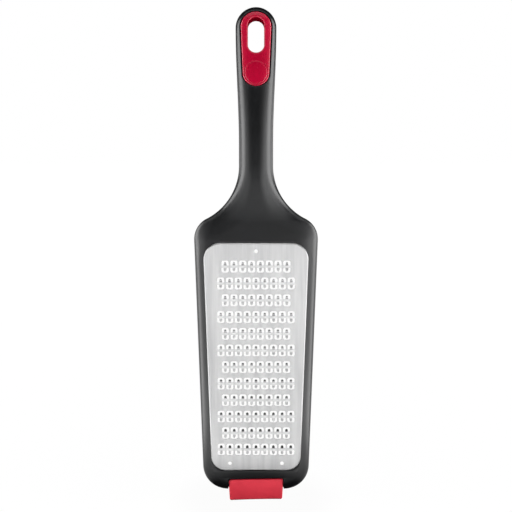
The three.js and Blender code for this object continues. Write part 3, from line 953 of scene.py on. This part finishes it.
def node_material(name):
    material = bpy.data.materials.new(name)
    material.use_nodes = True
    tree = material.node_tree
    return material, tree, tree.nodes["Principled BSDF"]


def noise(tree, scale, detail=3.0, stretch=(1, 1, 1)):
    """Noise in metres of the object, stretched along its axes."""
    place = tree.nodes.new("ShaderNodeTexCoord")
    mapping = tree.nodes.new("ShaderNodeMapping")
    mapping.inputs["Scale"].default_value = stretch
    texture = tree.nodes.new("ShaderNodeTexNoise")
    texture.inputs["Scale"].default_value = scale
    texture.inputs["Detail"].default_value = detail
    tree.links.new(place.outputs["Object"], mapping.inputs["Vector"])
    tree.links.new(mapping.outputs["Vector"], texture.inputs["Vector"])
    return texture.outputs["Fac"]


def ramp(tree, value, low, high, start=0.0, stop=1.0):
    """Value from start to stop mapped onto low to high: colours or numbers."""
    node = tree.nodes.new("ShaderNodeMapRange")
    node.inputs["From Min"].default_value = start
    node.inputs["From Max"].default_value = stop
    node.inputs["To Min"].default_value = low
    node.inputs["To Max"].default_value = high
    tree.links.new(value, node.inputs["Value"])
    return node.outputs["Result"]


def math_node(tree, operation, first, second):
    """One sum of two values; each is a socket or a number."""
    node = tree.nodes.new("ShaderNodeMath")
    node.operation = operation
    for socket, value in zip(node.inputs, (first, second)):
        if isinstance(value, (int, float)):
            socket.default_value = value
        else:
            tree.links.new(value, socket)
    return node.outputs["Value"]


def mixed(tree, value, first, second):
    """Mix of two colours; each is a socket or three numbers."""
    node = tree.nodes.new("ShaderNodeMix")
    node.data_type = "RGBA"
    colours = [socket for socket in node.inputs if socket.type == "RGBA"]
    for socket, colour in zip(colours, (first, second)):
        if isinstance(colour, tuple):
            socket.default_value = (*colour, 1)
        else:
            tree.links.new(colour, socket)
    tree.links.new(value, node.inputs["Factor"])
    return next(socket for socket in node.outputs if socket.type == "RGBA")


def bump(tree, shader, height, strength, distance):
    node = tree.nodes.new("ShaderNodeBump")
    node.inputs["Strength"].default_value = strength
    node.inputs["Distance"].default_value = distance
    tree.links.new(height, node.inputs["Height"])
    tree.links.new(node.outputs["Normal"], shader.inputs["Normal"])


def edge_wear(tree, start, stop):
    """Patchy mask of the convex edges that hands and food rub."""
    shape = tree.nodes.new("ShaderNodeNewGeometry")
    edges = ramp(tree, shape.outputs["Pointiness"], 0, 1, start, stop)
    patches = ramp(tree, noise(tree, WEAR_SCALE, WEAR_DETAIL), WEAR_LEAST, 1, *PATCH_BAND)
    return math_node(tree, "MULTIPLY", edges, patches)


def worn_value(tree, value, wear, change):
    """A value that the wear raises or lowers."""
    return math_node(tree, "ADD", value, math_node(tree, "MULTIPLY", wear, change))


def plastic(name, colours, rough, grain, shine=PLAIN_SHINE):
    """Moulded plastic: cloudy colour and gloss, a fine moulded grain and rubbed edges."""
    material, tree, shader = node_material(name)
    dark, light, worn = colours
    grain_scale, grain_depth = grain
    clouds = ramp(tree, noise(tree, CLOUD_SCALE, CLOUD_DETAIL), 0, 1, *PATCH_BAND)
    wear = edge_wear(tree, *PLASTIC_WEAR)
    colour = mixed(tree, wear, mixed(tree, clouds, dark, light), worn)
    tree.links.new(colour, shader.inputs["Base Color"])
    gloss = ramp(tree, noise(tree, GLOSS_SCALE, CLOUD_DETAIL), *rough, *GLOSS_BAND)
    gloss = worn_value(tree, gloss, wear, PLASTIC_WORN_ROUGH)
    tree.links.new(gloss, shader.inputs["Roughness"])
    shader.inputs["Specular IOR Level"].default_value = shine
    bump(tree, shader, noise(tree, grain_scale, GRAIN_DETAIL), GRAIN_STRENGTH, grain_depth)
    return material


def brushed_steel(name, colours, rough, anisotropy, worn=None):
    """Sheet streaked along its length in colour, gloss and height, its edges worn if so asked."""
    material, tree, shader = node_material(name)
    streaks = noise(tree, 1, STREAK_DETAIL, STREAK_STRETCH)
    broad = ramp(tree, noise(tree, 1, BROAD_DETAIL, BROAD_STRETCH), 0, BROAD_SHARE, *GLOSS_BAND)
    both = math_node(tree, "ADD", math_node(tree, "MULTIPLY", streaks, STREAK_SHARE), broad)
    colour = mixed(tree, ramp(tree, both, 0, 1, *STREAK_BAND), *colours)
    gloss = ramp(tree, streaks, *rough, *GLOSS_BAND)
    if worn:
        wear = edge_wear(tree, *STEEL_WEAR)
        colour = mixed(tree, wear, colour, worn)
        gloss = worn_value(tree, gloss, wear, STEEL_WORN_ROUGH)
    tree.links.new(colour, shader.inputs["Base Color"])
    tree.links.new(gloss, shader.inputs["Roughness"])
    shader.inputs["Metallic"].default_value = 1
    shader.inputs["Anisotropic"].default_value = anisotropy
    tangent = tree.nodes.new("ShaderNodeTangent")
    tangent.direction_type = "RADIAL"
    tangent.axis = "Z"
    tree.links.new(tangent.outputs["Tangent"], shader.inputs["Tangent"])
    bump(tree, shader, streaks, STREAK_STRENGTH, STREAK_DEPTH)
    return material


def dress(obj, node, slot, *materials):
    """Puts a finished piece in place of its CAD node."""
    for material in materials:
        obj.data.materials.append(material)
    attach(obj, "root")
    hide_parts(node)


dress(make_body(), "body", "black_nylon", plastic("black_nylon", BLACK, BLACK_ROUGH, BLACK_GRAIN))
dress(
    make_plate(),
    "grating_plate",
    "stainless_sheet",
    brushed_steel("brushed_stainless", STEEL_SHEET, BRUSHED_ROUGH, BRUSHED),
    # Darker steel of painted shade on the upper teeth, lighter steel of painted light on the bridges and
    # lower teeth, both with worn edges
    brushed_steel("painted_shade_worn_stainless", STEEL_PAINTED_SHADE, UPPER_ROUGH, UNBRUSHED, STEEL_WORN),
    brushed_steel("painted_light_worn_stainless", STEEL_PAINTED_LIGHT, BRUSHED_ROUGH, BRUSHED, STEEL_WORN),
)
dress(
    make_insert(),
    "hanging_insert",
    "red_plastic",
    plastic("red_gloss", RED_GLOSS, GLOSS_ROUGH, GLOSS_GRAIN, GLOSS_SHINE),
    # Darker red of painted shade on the slot's wall
    plastic("red_slot_wall_painted_shade", RED_WALL_PAINTED_SHADE, WALL_ROUGH, WALL_GRAIN, WALL_SHINE),
    # Lighter red of painted highlight on the insert's rims
    plastic("red_rim_painted_highlight", RED_RIM_PAINTED_HIGHLIGHT, RIM_ROUGH, GLOSS_GRAIN, RIM_SHINE),
)
dress(
    make_foot(),
    "anti_slip_foot",
    "red_silicone",
    plastic("red_silicone", RED_SOFT, SOFT_ROUGH, SOFT_GRAIN),
)

# Floor, background and light, in metres

FLOOR_HEIGHT = cad_box[0][2]
FLOOR_FRONT = 0.9
FLOOR_SIDE = 3.0
FLOOR_BACK = 6.0
FLOOR_ROUGH = 0.8
FLOOR_SHINE = 0.1
FLOOR_GLOW = 1.01
FLOOR_WHITE = 0.96
WHITE_EDGE = (0.15, 0.8)
FLOOR_MIRRORED = 0.8
FLOOR_GREY = (0.75, 0.75, 0.75)
# Painted shadow under the part: a dark patch in the floor's colour and its mirrored glow, its middle,
# edges and stretch
PAINTED_SHADOW_GREY = (0.04, 0.04, 0.04)
PAINTED_SHADOW_CENTRE = (0, -0.010, 0)
PAINTED_SHADOW_EDGE = (0.05, 0.085)
PAINTED_SHADOW_SCALE = (1.4, 1.0, 1.0)
STUDIO_LEVEL = 0.6
STUDIO_LOW = 0.08
STUDIO_HIGH = 0.0
FADE_BELOW = (-0.11, -0.005)
FADE_ABOVE = (0.0, 0.11)
BACKDROP_EDGE = (0.94, 0.99)

# The camera looks at this height of the drawing frame, in millimetres like its lens and sensor
CAMERA_HEIGHT = 157.65
CAMERA_LENS = 84.375
CAMERA_SENSOR = 36
CAMERA_DISTANCE = 0.780
CAMERA_RISE = math.radians(6.5)

LIGHT_AIM = (0, 0, -0.14)
PANEL_RISE = 0.002

# Lamps round the part: name, degrees from the front, reach, rise over the aim, width, height, radiance
LAMPS = (
    ("left_box", -80, 1.4, 0.30, 0.95, 1.2, 6.5),
    ("right_box", 79, 1.4, 0.30, 1.00, 1.2, 6.5),
    ("right_panel", 44, 1.5, 0.11, 0.65, 0.56, 3.2),
    ("right_front", 22, 1.5, 0.08, 0.55, 0.5, 0.9),
    ("left_front", -22, 1.5, 0.08, 0.55, 0.5, 0.25),
    ("left_panel", -44, 1.5, 0.11, 0.55, 0.56, 1.8),
    ("left_back", -120, 1.4, 0.024, 0.90, 0.3, 1.5),
    ("right_back", 120, 1.4, 0.024, 0.90, 0.3, 2.5),
    ("overhead", 0, 0.55, 1.35, 2.20, 1.3, 1.7),
)

# Panels just over the floor that face up: name, place across and along, width, length, radiance
FLOOR_PANELS = (
    ("left_floor_near", -0.33, -0.07, 0.36, 0.20, 5.0),
    ("right_floor_near", 0.33, -0.07, 0.36, 0.20, 5.0),
    ("centre_floor", 0, -0.100, 0.24, 0.035, 2.5),
    ("left_floor_front", -0.335, -0.465, 0.37, 0.57, 0.3),
    ("right_floor_front", 0.335, -0.465, 0.37, 0.57, 1.1),
    ("left_floor_ahead", -0.46, -0.83, 0.54, 0.40, 2.6),
    ("right_floor_ahead", 0.46, -0.83, 0.54, 0.40, 5.0),
    ("left_floor_far", -0.92, -0.16, 0.80, 0.48, 5.0),
    ("right_floor_far", 0.92, -0.16, 0.80, 0.48, 5.0),
)


def light_path(tree):
    """Outputs that tell kinds of ray apart, and 1 for the camera's rays, straight or through glass."""
    rays = tree.nodes.new("ShaderNodeLightPath").outputs
    return rays, math_node(tree, "MAXIMUM", rays["Is Camera Ray"], rays["Is Transmission Ray"])


def distance_from_painted_shadow(tree):
    """Distance on the floor from the middle of the painted shadow under the part, counted longer across
    than along.
    """
    place = tree.nodes.new("ShaderNodeTexCoord")
    mapping = tree.nodes.new("ShaderNodeMapping")
    mapping.inputs["Scale"].default_value = PAINTED_SHADOW_SCALE
    spread = tree.nodes.new("ShaderNodeVectorMath")
    spread.operation = "DISTANCE"
    spread.inputs[1].default_value = PAINTED_SHADOW_CENTRE
    tree.links.new(place.outputs["Object"], mapping.inputs["Vector"])
    tree.links.new(mapping.outputs["Vector"], spread.inputs[0])
    return spread.outputs["Value"]


def floor_material():
    """White to the camera, fully so farther off; pale in mirrors, with a painted shadow under the part: a
    dark patch in its colour and in what mirrors see.
    """
    material, tree, shader = node_material("pale_floor")
    shader.inputs["Roughness"].default_value = FLOOR_ROUGH
    shader.inputs["Specular IOR Level"].default_value = FLOOR_SHINE
    white = tree.nodes.new("ShaderNodeEmission")
    white.inputs["Strength"].default_value = FLOOR_GLOW
    mix = tree.nodes.new("ShaderNodeMixShader")
    rays, shown = light_path(tree)
    distance = distance_from_painted_shadow(tree)
    away = ramp(tree, distance, 0, 1, *PAINTED_SHADOW_EDGE)
    # Painted shadow: darker colour and less glow in mirrors near the part
    tree.links.new(mixed(tree, away, PAINTED_SHADOW_GREY, FLOOR_GREY), shader.inputs["Base Color"])
    mirrored = math_node(tree, "MULTIPLY", away, FLOOR_MIRRORED)
    mirrored = math_node(tree, "MULTIPLY", rays["Is Glossy Ray"], mirrored)
    whiteness = ramp(tree, distance, FLOOR_WHITE, 1.0, *WHITE_EDGE)
    shown = math_node(tree, "MULTIPLY", shown, whiteness)
    tree.links.new(math_node(tree, "MAXIMUM", shown, mirrored), mix.inputs["Fac"])
    tree.links.new(shader.outputs["BSDF"], mix.inputs[1])
    tree.links.new(white.outputs["Emission"], mix.inputs[2])
    tree.links.new(mix.outputs["Shader"], tree.nodes["Material Output"].inputs["Surface"])
    return material


def make_floor():
    """Table under the part; its front edge is near, so faces turned forward mirror little of it."""
    mesh = bpy.data.meshes.new("floor")
    corners = [
        (-FLOOR_SIDE, -FLOOR_FRONT, 0),
        (FLOOR_SIDE, -FLOOR_FRONT, 0),
        (FLOOR_SIDE, FLOOR_BACK, 0),
        (-FLOOR_SIDE, FLOOR_BACK, 0),
    ]
    mesh.from_pydata(corners, [], [(0, 1, 2, 3)])
    mesh.materials.append(floor_material())
    floor = bpy.data.objects.new("floor", mesh)
    floor.location = (0, 0, FLOOR_HEIGHT)
    scene.collection.objects.link(floor)


def make_world():
    """White to the camera and behind the part; elsewhere a band of light that fades off the horizon."""
    world = bpy.data.worlds.new("studio")
    scene.world = world
    world.use_nodes = True
    tree = world.node_tree
    background = tree.nodes["Background"]
    background.inputs["Color"].default_value = (1, 1, 1, 1)
    _, shown = light_path(tree)
    place = tree.nodes.new("ShaderNodeTexCoord")
    parts = tree.nodes.new("ShaderNodeSeparateXYZ")
    tree.links.new(place.outputs["Generated"], parts.inputs["Vector"])
    behind = ramp(tree, parts.outputs["Y"], 0.0, 1.0, *BACKDROP_EDGE)
    below = ramp(tree, parts.outputs["Z"], STUDIO_LOW, STUDIO_LEVEL, *FADE_BELOW)
    above = ramp(tree, parts.outputs["Z"], STUDIO_LEVEL, STUDIO_HIGH, *FADE_ABOVE)
    band = math_node(tree, "MINIMUM", below, above)
    mirrored = math_node(tree, "MAXIMUM", behind, band)
    tree.links.new(math_node(tree, "MAXIMUM", shown, mirrored), background.inputs["Strength"])


def softbox(name, place, aim, width, height, strength):
    """Area light of a given radiance, turned towards a point."""
    data = bpy.data.lights.new(name, "AREA")
    data.shape = "RECTANGLE"
    data.size = width
    data.size_y = height
    data.energy = strength * math.pi * width * height
    light = bpy.data.objects.new(name, data)
    light.location = place
    light.visible_camera = False
    light.rotation_euler = (Vector(aim) - Vector(place)).to_track_quat("-Z", "Y").to_euler()
    scene.collection.objects.link(light)


def make_lights():
    for name, turn, reach, rise, width, height, strength in LAMPS:
        around = math.radians(turn)
        place = (reach * math.sin(around), -reach * math.cos(around), rise + LIGHT_AIM[2])
        softbox(name, place, LIGHT_AIM, width, height, strength)
    for name, across, along, width, length, strength in FLOOR_PANELS:
        place = (across, along, FLOOR_HEIGHT + PANEL_RISE)
        softbox(name, place, (across, along, 1.0), width, length, strength)


def make_camera():
    data = bpy.data.cameras.new("camera")
    data.lens = CAMERA_LENS
    data.sensor_width = CAMERA_SENSOR
    camera = bpy.data.objects.new("camera", data)
    target = Vector(placed((0, PLATE_FACE, CAMERA_HEIGHT)))
    back = Vector((0, -math.cos(CAMERA_RISE), math.sin(CAMERA_RISE)))
    camera.location = target + back * CAMERA_DISTANCE
    camera.rotation_euler = (-back).to_track_quat("-Z", "Y").to_euler()
    scene.collection.objects.link(camera)
    scene.camera = camera


scene.view_settings.view_transform = "Standard"
make_floor()
make_world()
make_camera()
make_lights()
